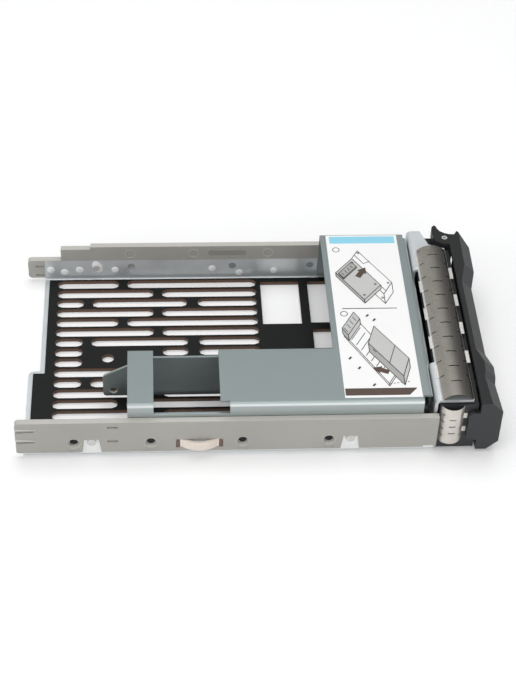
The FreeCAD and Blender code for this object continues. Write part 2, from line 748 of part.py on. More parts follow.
def top_gasket():
    """An arched strip of fingers along the flange, slit across its crest and along both edges."""
    radius = arch_radius(arch_width, arch_rise)
    centre_x = front_out + 7.7
    centre_z = front_height + arch_rise - radius
    first = 0.1 - flange_near
    last = first + arch_length
    outer = rod(radius, arch_length, centre_x, first, centre_z, ALONG_Y)
    inner = rod(radius - gasket_sheet, arch_length + 2, centre_x, first - 1, centre_z, ALONG_Y)
    ring = boolean("Cut", outer, inner)
    slab = block(centre_x - arch_width, centre_x + arch_width, first - 1, last + 1,
                 front_height, front_height + arch_rise + 1)
    arch = boolean("Common", ring, slab)
    cuts = []
    tabs = []
    count = int(math.floor((arch_length.value - 2) / finger_pitch.value))
    for i in range(count):
        y = first + finger_pitch * (i + 0.88)
        cuts.append(block(centre_x - 2.1, centre_x + 2.1, y, y + slit,
                          front_height + arch_rise - 1.5, front_height + arch_rise + 1))
        half_y = y + finger_pitch / 2
        for end in (-1, 1):
            edge = centre_x + arch_width / 2 * end
            cuts.append(block(edge - 2.1, edge + 2.1, half_y, half_y + slit, front_height - 1, front_height + 2.4))
        if i == count - 1:
            continue
        if i % 2 == 0:
            low = half_y + slit
            tabs.append(block(centre_x - arch_width / 2 - 1.1, centre_x - arch_width / 2 + 0.4,
                              low, low + finger_pitch - slit * 3, front_height, front_height + gasket_sheet))
        else:
            low = half_y + slit
            tabs.append(block(centre_x + arch_width / 2 - 0.4, centre_x + arch_width / 2 + 1.1,
                              low, low + finger_pitch - slit * 3, front_height, front_height + gasket_sheet))
    tool = doc.addObject("Part::Compound", "slits")
    tool.Links = cuts
    finish(fused([boolean("Cut", arch, tool)] + tabs), "top_gasket")


def side_gasket():
    """The shorter strip on the near side wall of the bezel frame."""
    radius = arch_radius(side_arch_width, side_arch_rise)
    centre_x = front_out + 5.9
    base = -frame_near
    axis = base - side_arch_rise + radius
    low = frame_foot + 4.4
    outer = rod(radius, side_arch_height, centre_x, axis, low)
    inner = rod(radius - gasket_sheet, side_arch_height + 2, centre_x, axis, low - 1)
    ring = boolean("Cut", outer, inner)
    slab = block(centre_x - side_arch_width, centre_x + side_arch_width,
                 base - side_arch_rise - 1, base, low, low + side_arch_height)
    arch = boolean("Common", ring, slab)
    cuts = []
    tabs = []
    pitch = side_arch_height / 5
    for i in range(1, 5):
        z = low + pitch * i
        if i < 4:
            cuts.append(block(centre_x - 1.3, centre_x + 1.3, base - side_arch_rise - 1,
                              base - side_arch_rise + 0.8, z + pitch / 2, z + pitch / 2 + slit))
        for end in (-1, 1):
            edge = centre_x + side_arch_width / 2 * end
            cuts.append(block(edge - 1.5, edge + 1.5, base - 1.8, base + 1, z, z + slit))
    for i in (1, 3):
        z = low + pitch * i
        tabs.append(block(centre_x + side_arch_width / 2 - 0.5, centre_x + side_arch_width / 2 + 1.3,
                          base - gasket_sheet, base, z + 1, z + pitch))
    tool = doc.addObject("Part::Compound", "side_slits")
    tool.Links = cuts
    finish(fused([boolean("Cut", arch, tool)] + tabs), "side_gasket")


# ---------------------------------------------------------------- bezel frame
frame_top = front_height - steel - 0.2
shelf_low = handle_foot + ear + run_gap           # the frame between the handle's two ears
shelf_high = handle_top - ear - run_gap
barrel_top = size("barrel_top", 18.5)
hook_low = size("hook_low", 9.8)
hook_high = size("hook_high", 16.6)
doc.recompute()


def bezel_frame():
    """Hollow moulded frame screwed to the pan, with the hinge barrel at its far end."""
    body = new_body("bezel_frame")
    screw_boss = 7.0
    prism(body, "XZ_Plane", -frame_near, frame_far, rectangle(frame_rear, frame_foot, frame_front, frame_top))
    prism(body, "XZ_Plane", wall - frame_near, frame_far - wall, rectangle(
        frame_rear - 1, frame_foot + wall, frame_front - wall, frame_top - wall), cut=True)
    # Low far end between the ears, hollow from the rear, with the hinge barrel.
    prism(body, "XZ_Plane", frame_far, frame_near, rectangle(frame_rear, shelf_low, 92.2, shelf_high))
    prism(body, "XZ_Plane", frame_far + 0.01, frame_near - wall, rectangle(
        frame_rear - 1, shelf_low + wall, 92.2 - wall, shelf_high - wall), cut=True)
    prism(body, "XY_Plane", shelf_low, barrel_top, rectangle(90.5, pin_y - 3.4, pin_x, pin_y + 3.4))
    prism(body, "XY_Plane", shelf_low, barrel_top, circles([(pin_x, pin_y)], knuckle))
    # Bosses that reach the pan's front wall, and their pilot holes.
    for y in (-frame_screw_y, frame_screw_y):
        prism(body, "YZ_Plane", front_out, frame_front - 6, circles([(y, frame_screw_z)], screw_boss))
        prism(body, "XY_Plane", frame_foot, frame_screw_z, rectangle(
            frame_rear, y - wall / 2, frame_front - 6, y + wall / 2))
        prism(body, "YZ_Plane", front_out - 1, front_out + 7.4, circles([(y, frame_screw_z)], 3.0), cut=True)
    # Air openings through the front, with the hook's slot beside them.
    count = 6
    first = -28.4
    span = 64.0
    step = (span + wall) / count
    for i in range(count):
        low = first + step * i
        for bottom, height in ((frame_foot + wall, 8.8), (frame_foot + wall + 10.6, 8.8)):
            prism(body, "YZ_Plane", frame_front - wall - 1, frame_front + 1, rectangle(
                low, bottom, low + step - wall, bottom + height), cut=True)
    prism(body, "YZ_Plane", frame_front - wall - 1, frame_front + 1, rectangle(
        -35.4, hook_low - 0.6, -30.6, hook_high + 0.6), cut=True)
    prism(body, "XY_Plane", shelf_low - 1, barrel_top + 1, circles([(pin_x, pin_y)], pin_size), cut=True)


def vent_screen():
    """Perforated sheet behind the frame's air openings."""
    rear = frame_front - wall - 0.8
    low = -29.2
    high = frame_far - wall - 0.1
    bottom = frame_foot + wall + 0.1
    top = frame_top - wall - 0.1
    panel = block(rear, rear + 0.7, low, high, bottom, top)
    holes = []
    pitch = 5.4
    for row in range(4):
        for column in range(11 + row % 2):
            y = low + 7.1 + pitch * column - (pitch / 2 if row % 2 else 0)
            z = bottom + 2.9 + pitch * 0.87 * row
            hole = doc.addObject("Part::Prism", "hexagon")
            hole.Polygon = 6
            bound(hole, Circumradius=2.5, Height=2.7)
            place(hole, rear - 1, y, z, Rotation(Vector(0, 1, 0), 90))
            holes.append(hole)
    tool = doc.addObject("Part::Compound", "hexagons")
    tool.Links = holes
    finish(boolean("Cut", panel, tool), "vent_screen")


ALONG_X = Rotation(Vector(0, 1, 0), 90)           # turns a primitive's own Z to +X


def frame_screws():
    """Two pan head screws from inside the tray into the frame's bosses."""
    screws = []
    for y in (-frame_screw_y, frame_screw_y):
        shank = rod(1.45, 7.6, front_in - 0.1, y, frame_screw_z, ALONG_X)
        head = rod(2.75, 1.9, front_in - 1.9, y, frame_screw_z, ALONG_X)
        screw = fused([shank, head])
        for wide, tall in ((0.55, 2.8), (2.8, 0.55)):
            slot = block(front_in - 2.9, front_in - 0.9, y - wide / 2, y + wide / 2,
                         frame_screw_z - tall / 2, frame_screw_z + tall / 2)
            screw = boolean("Cut", screw, slot)
        screws.append(screw)
    group = doc.addObject("Part::Compound", "screws")
    group.Links = screws
    finish(group, "frame_screws")


# ---------------------------------------------------------------- handle, hinge and release lever
def front_line(inset):
    """The handle's front from the hinge end to the free end, moved back by inset."""
    bulge = handle_front - inset
    waist = handle_waist - inset
    return [(bulge + 0.2, 45.0), (bulge, 28.9), (bulge - 0.6, 26.4), (waist, 18.2), (waist, -21.4),
            (bulge - 0.2, -28.6), (bulge - 0.4, -34.4), (bulge - 1.2, -38.6), (bulge - 0.7, -46.1)]


def handle():
    body = new_body("handle")
    peak = (102.7, 51.1)
    prism(body, "XY_Plane", handle_foot, handle_top, polygon(
        *([(handle_rear, 42.6), (101.3, 46.8), peak] + front_line(as_size(0))
          + [(handle_front - 0.2, -handle_near), (handle_rear, -handle_near)])))
    for height in (handle_top, handle_foot):
        smooth(body, bevel, lambda e: near(e.BoundBox.ZMin, height) and near(e.BoundBox.ZMax, height)
               and e.BoundBox.XMin > 104 and e.BoundBox.YMax < 45.1, kind="Chamfer")
    # Cavity open to the rear: a full height part and a deeper part behind the flat of the front.
    for inset, low, high, end in ((bevel, handle_foot + wall, handle_top - wall, 40.5),
                                  (wall, handle_foot + bevel + 0.4, handle_top - bevel - 0.4, 44.6)):
        corner = [(101.4, 49.6)] if inset is wall else []
        prism(body, "XY_Plane", low, high, polygon(
            *([(handle_rear - 1, end + (1.0 if inset is wall else 0))] + corner
              + [((handle_front - inset).value, end)] + front_line(inset)[1:]
              + [(handle_front - inset - 0.2, wall - handle_near), (handle_rear - 1, wall - handle_near)])),
            cut=True)
    # Ears above and below the hinge barrel, with the horn that levers on the chassis.
    for low, high in ((handle_foot, handle_foot + ear), (handle_top - ear, handle_top)):
        prism(body, "XY_Plane", low, high, polygon(
            (92.0, 46.6), (93.4, 44.2), (95.6, 42.9), (98.7, 42.6), (98.7, 39.0), (103.2, 39.0), (103.4, 48.0),
            peak, (101.3, 48.9), (99.3, 49.0), (97.2, 49.7), (95.5, 50.9), (94.5, 52.4), (93.9, 54.4),
            (93.1, 54.9), (92.1, 53.9), (91.7, 51.8)))
    prism(body, "XY_Plane", handle_foot + ear, handle_top - ear, circles([(pin_x, pin_y)], 9.4), cut=True)
    prism(body, "XY_Plane", handle_foot - 1, handle_top + 1, circles(
        [(pin_x, pin_y)], pin_size + pin_clear * 2), cut=True)
    # Tongue that wraps the frame's free end.
    prism(body, "XZ_Plane", -handle_near, wall - handle_near, polygon(
        (94.3, 8.2), (95.8, 6.7), (handle_rear + 1, 6.7), (handle_rear + 1, 21.7), (95.8, 21.7), (94.3, 20.2)))
    # Bosses for the lever's pin, the pad's opening and the air slots.
    for low, high in ((handle_foot + wall - 0.5, hub_low - run_gap), (pad_high, handle_top - wall + 0.5)):
        prism(body, "XY_Plane", low, high, circles([(lever_x, lever_y)], 4.6))
    prism(body, "XY_Plane", handle_foot + wall, handle_top - wall, circles([(lever_x, lever_y)], lever_pin), cut=True)
    prism(body, "YZ_Plane", handle_rear + 4, handle_front + 1, rectangle(
        pad_near - run_gap, pad_low - run_gap, pad_near + pad_length + run_gap, pad_high + run_gap), cut=True)
    for i in range(8):
        y = -17.6 + 4.6 * i
        prism(body, "YZ_Plane", handle_rear + 3, handle_front + 1, rectangle(
            y, handle_foot + bevel + 0.8, y + 2.6, handle_top - bevel - 0.8), cut=True)


def hinge_pin():
    body = new_body("hinge_pin")
    prism(body, "XY_Plane", handle_foot + 0.1, handle_top + 0.1, circles([(pin_x, pin_y)], pin_size))


def coil(label, radius, thick, x, y, low, turns, legs):
    """A torsion spring round an upright pin: its close turns as one sleeve, with straight square legs."""
    pieces = [rod(radius + thick / 2, thick * turns, x, y, low)]
    for turn, side, reach in legs:
        bottom = low + thick * turn
        edge = x + radius * side
        first, last = (y, y + reach) if reach > 0 else (y + reach, y)
        pieces.append(block(edge - thick / 2, edge + thick / 2, first, last, bottom, bottom + thick))
    bore = rod(radius - thick / 2, thick * turns + 2, x, y, low - 1)
    finish(boolean("Cut", fused(pieces), bore), label)


spring_wire = size("spring_wire", 0.7)
hub_low = size("hub_low", 7.6)
hub_high = size("hub_high", 16.6)
pad_near = size("pad_near", -45.4)
pad_low = size("pad_low", 7.4)
pad_high = size("pad_high", 20.8)
doc.recompute()


def handle_spring():
    """Coil round the hinge pin; its legs reach towards the frame and into the handle."""
    coil("handle_spring", as_size(2.6), spring_wire, pin_x, pin_y, barrel_top + 0.2, 4, ((0, 1, -5.2), (3, -1, -4.6)))


def release_lever():
    """Rocker: finger pad in the handle's front, hub on its pin, and a hook that reaches into the frame."""
    body = new_body("release_lever")
    pad_far = pad_near + pad_length
    prism(body, "XY_Plane", pad_low, pad_high, polygon(
        (104.6, pad_near), (106.0, pad_near), (106.3, pad_far), (104.6, pad_far)))
    prism(body, "XY_Plane", hub_low, hub_high, polygon(
        (103.0, pad_near + 1.0), (104.7, pad_near + 1.0), (104.7, pad_far), (103.4, lever_y), (101.6, -34.6)))
    prism(body, "XY_Plane", hub_low, hub_high, circles([(lever_x, lever_y)], lever_hub))
    prism(body, "XY_Plane", hub_low, pad_high - 2, polygon(
        (103.4, pad_near - 2), (104.9, pad_near - 2), (104.9, pad_near + 2), (103.4, pad_near + 2)))
    prism(body, "XY_Plane", hook_low, hub_high, polygon(
        (93.6, -35.2), (93.6, -31.4), (lever_x, -31.4), (lever_x, -34.0), (96.0, -33.6), (96.0, -35.2)))
    prism(body, "XY_Plane", hub_low - 1, hub_high + 1, circles(
        [(lever_x, lever_y)], lever_pin + pin_clear * 2), cut=True)
    smooth(body, 0.5, lambda e: along(e, "z") and near(e.BoundBox.XMax, 93.6))


def release_pin():
    body = new_body("release_pin")
    prism(body, "XY_Plane", handle_foot + wall + 0.1, handle_top - wall - 0.1, circles([(lever_x, lever_y)], lever_pin))


def release_spring():
    """Coil round the lever's pin above its hub, with one leg to the pad and one along the handle."""
    coil("release_spring", as_size(1.7), as_size(0.45), lever_x, lever_y, hub_high + 0.4, 4, ((0, 1, -5), (3, 1, 5)))


openings = floor_cutter()
tray_pan(openings)
base_insulator(openings)
rail("near_rail", -1)
rail("far_rail", 1)
side_spring("near_spring", -1)
side_spring("far_spring", 1)
drive_studs()
adapter_bracket()
instruction_label()
top_gasket()
side_gasket()
bezel_frame()
vent_screen()
frame_screws()
handle()
hinge_pin()
handle_spring()
release_lever()
release_pin()
release_spring()

# ---------------------------------------------------------------- write the parts
doc.recompute()
for item in doc.Objects:
    if "Invalid" in item.State or "Error" in item.State:
        raise RuntimeError(f"{item.Label} failed: {item.State}")
os.makedirs("parts", exist_ok=True)
for item in finished:
    shape = item.Shape
    if shape.isNull() or not shape.isValid() or not shape.Solids:
        raise RuntimeError(f"{item.Label} has no valid shape")
    print(f"{item.Label:18s} solids {len(shape.Solids):2d} faces {len(shape.Faces):4d} volume {shape.Volume:10.1f}")
    shape.exportStep(f"parts/{item.Label}.step")
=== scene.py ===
"""Looks of a hot swap drive caddy with a smaller drive's adapter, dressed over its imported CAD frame.

Metres throughout: X runs towards the handle, Y across towards the hinge, Z up.
"""
import math

import bmesh
import bpy
from mathutils import Matrix, Vector


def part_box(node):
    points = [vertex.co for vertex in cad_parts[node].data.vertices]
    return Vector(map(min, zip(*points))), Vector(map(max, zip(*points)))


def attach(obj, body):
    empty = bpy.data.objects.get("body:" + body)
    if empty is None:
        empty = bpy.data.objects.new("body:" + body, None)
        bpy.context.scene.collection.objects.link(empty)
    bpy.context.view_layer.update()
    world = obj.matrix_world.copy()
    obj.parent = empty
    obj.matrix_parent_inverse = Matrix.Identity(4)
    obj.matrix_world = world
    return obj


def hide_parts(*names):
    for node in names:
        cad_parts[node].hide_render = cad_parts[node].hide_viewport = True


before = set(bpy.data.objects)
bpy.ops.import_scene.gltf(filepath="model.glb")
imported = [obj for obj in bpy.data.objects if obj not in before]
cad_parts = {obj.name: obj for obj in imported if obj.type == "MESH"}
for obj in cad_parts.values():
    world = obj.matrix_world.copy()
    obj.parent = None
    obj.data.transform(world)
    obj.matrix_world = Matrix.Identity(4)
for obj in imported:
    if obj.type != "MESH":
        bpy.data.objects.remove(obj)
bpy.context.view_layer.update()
MM = 0.001


# ---------------------------------------------------------------- tray pan
# Folded from galvanised steel sheet: bluish grey, satin, with the faint cloudy
# crystals and rolling marks that zinc coating leaves. Sizes are in millimetres.
NOISE_RANGE = (0.3, 0.7)   # most of a noise's values lie between these two
METAL_RELIEF, PLASTIC_RELIEF = 0.1, 0.08
SLOTS_REAR, SLOTS_FRONT, SLOTS_SIDE, SLOTS_TOP = -95.5, 34, 49.5, 2.2
BRIGHT_FROM = 52.3
DULLED = 0.55   # how much less metallic the opening walls are where their brown is a painted reflection


def linear(colour):
    """An sRGB hex colour as the linear colour that a socket takes."""
    parts = [int(colour[i:i + 2], 16) / 255 for i in (1, 3, 5)]
    return [p / 12.92 if p <= 0.04045 else ((p + 0.055) / 1.055) ** 2.4 for p in parts] + [1.0]


def add(tree, kind, links=None, **settings):
    """Add a node, set its properties, and set or link its inputs."""
    node = tree.nodes.new(kind)
    for name, value in settings.items():
        setattr(node, name, value)
    for name, value in (links or {}).items():
        socket = node.inputs[name]
        if isinstance(value, bpy.types.NodeSocket):
            tree.links.new(value, socket)
        else:
            socket.default_value = value
    return node


def blank(name):
    """A material with only a Principled shader wired to its output."""
    material = bpy.data.materials.new(name)
    material.use_nodes = True
    tree = material.node_tree
    tree.nodes.clear()
    shader = add(tree, "ShaderNodeBsdfPrincipled")
    output = add(tree, "ShaderNodeOutputMaterial")
    tree.links.new(shader.outputs[0], output.inputs["Surface"])
    return material, tree, shader


def maths(tree, operation, *values):
    """The result of one sum on numbers or sockets."""
    return add(tree, "ShaderNodeMath", dict(enumerate(values)), operation=operation).outputs[0]


def ramp(tree, value, low, high, start=0.0, end=1.0):
    """A value carried from the range low to high on to the range start to end."""
    return add(tree, "ShaderNodeMapRange", {
        "Value": value, "From Min": low, "From Max": high, "To Min": start, "To Max": end}).outputs["Result"]


def object_place(tree, stretch=(1, 1, 1)):
    """Object coordinates, scaled to stretch a pattern along an axis."""
    where = add(tree, "ShaderNodeTexCoord")
    return add(tree, "ShaderNodeMapping", {"Vector": where.outputs["Object"], "Scale": stretch}).outputs[0]


def place_along(tree, axis):
    """A point's place along one axis of its object, in metres."""
    where = add(tree, "ShaderNodeTexCoord").outputs["Object"]
    return add(tree, "ShaderNodeSeparateXYZ", {"Vector": where}).outputs[axis]


def facing_along(tree, axis, normal="True Normal"):
    """How far the surface faces along one axis, from -1 to 1."""
    facing = add(tree, "ShaderNodeNewGeometry").outputs[normal]
    return add(tree, "ShaderNodeSeparateXYZ", {"Vector": facing}).outputs[axis]


def mottled(name, tones, clouds, grain, streak, gloss, bump, depth):
    """A material with colour in clouds between two tones, and a fine grain in its gloss and surface.

    clouds and grain are the inputs of two noises, gloss is the lowest and highest roughness, and
    depth is how far the grain stands out.
    """
    material, tree, shader = blank(name)
    cloud = add(tree, "ShaderNodeTexNoise", {"Vector": object_place(tree), **clouds}).outputs["Fac"]
    fine = add(tree, "ShaderNodeTexNoise", {"Vector": object_place(tree, streak), **grain}).outputs["Fac"]
    colours = add(tree, "ShaderNodeValToRGB", {"Fac": cloud})
    for stop, position, tone in zip(colours.color_ramp.elements, NOISE_RANGE, tones):
        stop.position = position
        stop.color = linear(tone)
    tree.links.new(colours.outputs["Color"], shader.inputs["Base Color"])
    tree.links.new(ramp(tree, fine, *NOISE_RANGE, *gloss), shader.inputs["Roughness"])
    relief = add(tree, "ShaderNodeBump", {"Height": fine, "Strength": bump, "Distance": depth})
    tree.links.new(relief.outputs["Normal"], shader.inputs["Normal"])
    return material, shader


def metal(name, dark, light, grain_mm, roughness, streak=(1, 1, 1), bump=0.15, metallic=0.55):
    """Sheet metal: cloudy colour between two tones and a fine rolled grain in its gloss and surface."""
    material, shader = mottled(
        name, (dark, light), {"Scale": 90.0, "Detail": 4.0, "Roughness": 0.6},
        {"Scale": 1.0 / (grain_mm * MM), "Detail": 3.0, "Roughness": 0.65},
        streak, (roughness - 0.07, roughness + 0.09), bump, METAL_RELIEF * MM)
    shader.inputs["Metallic"].default_value = metallic
    return material


def plastic(name, dark, light, grain_mm, roughness, bump=0.3, ior=1.5):
    """Moulded plastic: an even colour with a slight flow mottle and the mould's fine texture."""
    material, shader = mottled(
        name, (dark, light), {"Scale": 35.0, "Detail": 3.0, "Roughness": 0.55},
        {"Scale": 1.0 / (grain_mm * MM), "Detail": 2.0},
        (1, 1, 1), (roughness - 0.05, roughness + 0.06), bump, PLASTIC_RELIEF * MM)
    shader.inputs["IOR"].default_value = ior
    return material


def dress(node, material):
    """Give a CAD node its material in every slot."""
    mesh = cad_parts[node].data
    mesh.materials.clear()
    mesh.materials.append(material)


def principled(material):
    """A material's Principled shader."""
    return next(node for node in material.node_tree.nodes if node.type == "BSDF_PRINCIPLED")


def mask_colour(material, mask, colour):
    """Mix a colour over a material's own where the mask is one."""
    tree, base = material.node_tree, principled(material).inputs["Base Color"]
    tone = base.links[0].from_socket
    mixed = add(tree, "ShaderNodeMix", {0: mask, 6: tone, 7: linear(colour)}, data_type="RGBA")
    tree.links.new(mixed.outputs[2], base)


def paint_opening_reflection(material):
    """Colour the upright walls of the floor's openings brown, a painted warm reflection, not a colour of the
    edge.
    """
    tree = material.node_tree
    along = place_along(tree, "X")
    side = maths(tree, "ABSOLUTE", place_along(tree, "Y"))
    mask = maths(tree, "LESS_THAN", maths(tree, "ABSOLUTE", facing_along(tree, "Z")), 0.5)
    for part in (("LESS_THAN", side, SLOTS_SIDE * MM), ("LESS_THAN", place_along(tree, "Z"), SLOTS_TOP * MM),
                 ("GREATER_THAN", along, SLOTS_REAR * MM), ("LESS_THAN", along, SLOTS_FRONT * MM)):
        mask = maths(tree, "MULTIPLY", mask, maths(tree, *part))
    mask_colour(material, mask, "#5F4636")
    metallic = principled(material).inputs["Metallic"]
    tree.links.new(maths(tree, "MULTIPLY_ADD", mask, -DULLED, metallic.default_value), metallic)
    return material


def facing_mask(material, axis, low, high):
    """Nought to one as the surface turns towards an axis, either way along it, from low to high."""
    tree = material.node_tree
    return ramp(tree, maths(tree, "ABSOLUTE", facing_along(tree, axis)), low, high)


def new_object(name, data):
    """An object that holds the data, put in the scene."""
    made = bpy.data.objects.new(name, data)
    bpy.context.scene.collection.objects.link(made)
    return made


# The opening walls of the steel and the film get a painted brown reflection.
galvanised = paint_opening_reflection(
    metal("galvanised_steel_sheet", "#C3C8CA", "#D0D4D6", 0.35, 0.36, (1, 4, 4), 0.15, 0.4))
# The walls' outer faces, which show through the rails' openings, are painted near white: a painted highlight
# where the front light falls on them.
zinc_tree = galvanised.node_tree
from_centre = maths(zinc_tree, "ABSOLUTE", place_along(zinc_tree, "Y"))
mask_colour(galvanised, maths(zinc_tree, "GREATER_THAN", from_centre, BRIGHT_FROM * MM), "#EDEEEE")
dress("tray_pan", galvanised)

# ---------------------------------------------------------------- base insulator
# Black polyester film glued to the floor: smooth and slightly glossy, with the same
# openings as the steel under it.
dress("base_insulator", paint_opening_reflection(
    plastic("black_polyester_film", "#121313", "#151616", 0.25, 0.5, 0.12, 1.25)))

# ---------------------------------------------------------------- rails
# Moulded from grey glass filled plastic, satin, with the mould's spark texture. They are
# held to the pan's walls by stakes that are melted over into pale domes.
rail_plastic = plastic("grey_moulded_rail", "#A3A19B", "#A9A7A1", 0.22, 0.5)
# Faces that turn upwards are painted lighter: painted light from the lamps above.
mask_colour(rail_plastic, facing_mask(rail_plastic, "Z", 0.5, 0.9), "#BBB9B3")
dress("near_rail", rail_plastic)
dress("far_rail", rail_plastic)


def repeat_tree(name, make):
    """A tree that puts one shape on every point that it is given; make() adds that shape's own nodes."""
    tree = bpy.data.node_groups.new(name, "GeometryNodeTree")
    inputs = {}
    for title, kind in (("Geometry", "NodeSocketGeometry"), ("Width", "NodeSocketFloat"),
                        ("Height", "NodeSocketFloat"), ("Material", "NodeSocketMaterial")):
        inputs[title] = tree.interface.new_socket(title, in_out="INPUT", socket_type=kind).identifier
    tree.interface.new_socket("Geometry", in_out="OUTPUT", socket_type="NodeSocketGeometry")
    source = add(tree, "NodeGroupInput")
    solid = make(tree, source)
    turn = add(tree, "ShaderNodeCombineXYZ", {"X": math.pi / 2})
    copies = add(tree, "GeometryNodeInstanceOnPoints", {
        "Points": source.outputs["Geometry"], "Instance": solid, "Rotation": turn.outputs[0]})
    real = add(tree, "GeometryNodeRealizeInstances", {"Geometry": copies.outputs[0]})
    dressed = add(tree, "GeometryNodeSetMaterial", {
        "Geometry": real.outputs[0], "Material": source.outputs["Material"]})
    add(tree, "NodeGroupOutput", {"Geometry": dressed.outputs[0]})
    return tree, inputs


def baked_mesh(carrier, name):
    """The mesh that the carrier's modifier makes, under the name; the carrier is taken away."""
    seen = carrier.evaluated_get(bpy.context.evaluated_depsgraph_get())
    baked = bpy.data.meshes.new_from_object(seen)
    carrier.modifiers.clear()
    bpy.data.objects.remove(carrier)
    baked.name = name
    return baked


def repeated(name, tree_and_inputs, places, width, height, material, body):
    """Bake the tree's shape at each place, in millimetres, into one plain mesh that rides on the body."""
    tree, inputs = tree_and_inputs
    mesh = bpy.data.meshes.new(name + "_places")
    mesh.from_pydata([Vector(place) * MM for place in places], [], [])
    carrier = new_object(name + "_places", mesh)
    modifier = carrier.modifiers.new("repeat", "NODES")
    modifier.node_group = tree
    for title, value in (("Width", width * MM), ("Height", height * MM), ("Material", material)):
        modifier[inputs[title]] = value
    piece = new_object(name, baked_mesh(carrier, name))
    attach(piece, body)
    return piece


def half_width(tree, source):
    """Half of the Width input."""
    return maths(tree, "MULTIPLY", source.outputs["Width"], 0.5)


def dome_shape(tree, source):
    """A flattened ball, seated to its middle."""
    ball = add(tree, "GeometryNodeMeshUVSphere", {"Segments": 24, "Rings": 12, "Radius": 0.5})
    size = add(tree, "ShaderNodeCombineXYZ", {"X": source.outputs["Width"], "Y": source.outputs["Width"],
                                              "Z": source.outputs["Height"]})
    formed = add(tree, "GeometryNodeTransform", {"Geometry": ball.outputs["Mesh"], "Scale": size.outputs[0]})
    return add(tree, "GeometryNodeSetShadeSmooth", {"Geometry": formed.outputs[0]}).outputs[0]


def plug_shape(tree, source):
    """A short round plug."""
    plug = add(tree, "GeometryNodeMeshCylinder", {
        "Vertices": 28, "Radius": half_width(tree, source), "Depth": source.outputs["Height"]})
    return plug.outputs["Mesh"]


def ring_shape(tree, source):
    """A slim raised ring."""
    path = add(tree, "GeometryNodeCurvePrimitiveCircle", {
        "Resolution": 36, "Radius": half_width(tree, source)})
    bead = add(tree, "GeometryNodeCurvePrimitiveCircle", {
        "Resolution": 8, "Radius": source.outputs["Height"]})
    swept = add(tree, "GeometryNodeCurveToMesh", {
        "Curve": path.outputs["Curve"], "Profile Curve": bead.outputs["Curve"]})
    return add(tree, "GeometryNodeSetShadeSmooth", {"Geometry": swept.outputs[0]}).outputs[0]


DOMES = repeat_tree("stake_domes", dome_shape)
PLUGS = repeat_tree("hole_plugs", plug_shape)
RINGS = repeat_tree("raised_rings", ring_shape)
WALL_IN, RAIL_OUT = 51.2, 53.6
# Each melted stake is a low dome on the wall's inner face.
stake_plastic = plastic("pale_stake_plastic", "#EDEFEF", "#F3F4F4", 0.2, 0.35, 0.1)
STAKE_Y = WALL_IN - 0.05
FAR_STAKES = ((-97.0, 6.8), (-91.1, 5.3), (-84.6, 6.6), (-69.1, 6.4), (-26.8, 6.7), (-15.0, 4.2), (0.3, 5.2))
stake_places = [(x, STAKE_Y, z) for x, z in FAR_STAKES] + [(-97.0, -STAKE_Y, 6.8)]
repeated("stake_domes", DOMES, stake_places, 3.4, 0.9, stake_plastic, "tray")
# The rear stake that holds the drive stud is a larger slanted oval.
STUD_STAKE = (-76.8, STAKE_Y, 8.2)
oval = repeated("stud_stake", DOMES, [STUD_STAKE], 4.4, 1.1, stake_plastic, "tray")
for vertex in oval.data.vertices:
    lift = vertex.co.z - STUD_STAKE[2] * MM
    vertex.co.z += 0.5 * lift
    vertex.co.x -= 0.35 * lift
# Discs close the screw holes: dark ones in the near rail, painted shade in the holes, and zinc plated blind
# inserts in the far one.
HOLES, HOLE_HEIGHT = (-84.2, -54.1, -18.1, 15.9), 8.15
INSERT_WIDTH, INSERT_LENGTH = 3.36, 0.9
recess_shade = metal("painted_recess_shade", "#0E0F10", "#141516", 0.2, 0.5, (1, 1, 1), 0.1, 0.3)
insert_zinc = metal("zinc_plated_insert", "#8D9499", "#979DA2", 0.2, 0.42, (1, 1, 1), 0.1)
for name, y, holes, finish in (("near_hole_shades", -51.75, HOLES, recess_shade),
                               ("far_inserts", 51.7, HOLES[2:], insert_zinc)):
    repeated(name, PLUGS, [(x, y, HOLE_HEIGHT) for x in holes], INSERT_WIDTH, INSERT_LENGTH, finish,
             "tray")
# A slim raised rim runs round each screw hole, and round each mark on the far rail's inner face; its pale
# colour is a painted highlight.
rail_highlight = plastic("painted_highlight_rail_plastic", "#C4C3BE", "#CCCBC6", 0.2, 0.42, 0.15)
for name, y in (("near_hole_rims", -RAIL_OUT), ("far_hole_rims", RAIL_OUT)):
    repeated(name, RINGS, [(x, y, HOLE_HEIGHT) for x in HOLES], 5.2, 0.1, rail_highlight,
             "tray")
repeated("mould_rings", RINGS, [(x, WALL_IN - 0.2, 15.6) for x in (-62.4, -35.0, -2.7)], 4.3, 0.12,
         rail_highlight, "tray")


def close_rings(bm, low_ring, high_ring):
    """Faces that close a slab between two rings of as many points: its high end, low end and sides."""
    faces = [bm.faces.new(high_ring), bm.faces.new(low_ring[::-1])]
    for i in range(len(low_ring)):
        after = (i + 1) % len(low_ring)
        faces.append(bm.faces.new((low_ring[i], low_ring[after], high_ring[after], high_ring[i])))
    return faces


def slab_piece(name, outline, low, high, material, body):
    """A thin closed slab: an outline in X and Z, carried from one Y to another."""
    bm = bmesh.new()
    low_ring, high_ring = [
        [bm.verts.new((x * MM, y * MM, z * MM)) for x, z in outline] for y in (low, high)]
    close_rings(bm, high_ring, low_ring)
    bmesh.ops.recalc_face_normals(bm, faces=bm.faces)
    mesh = bpy.data.meshes.new(name)
    bm.to_mesh(mesh)
    mesh.materials.append(material)
    piece = new_object(name, mesh)
    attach(piece, body)
    return piece


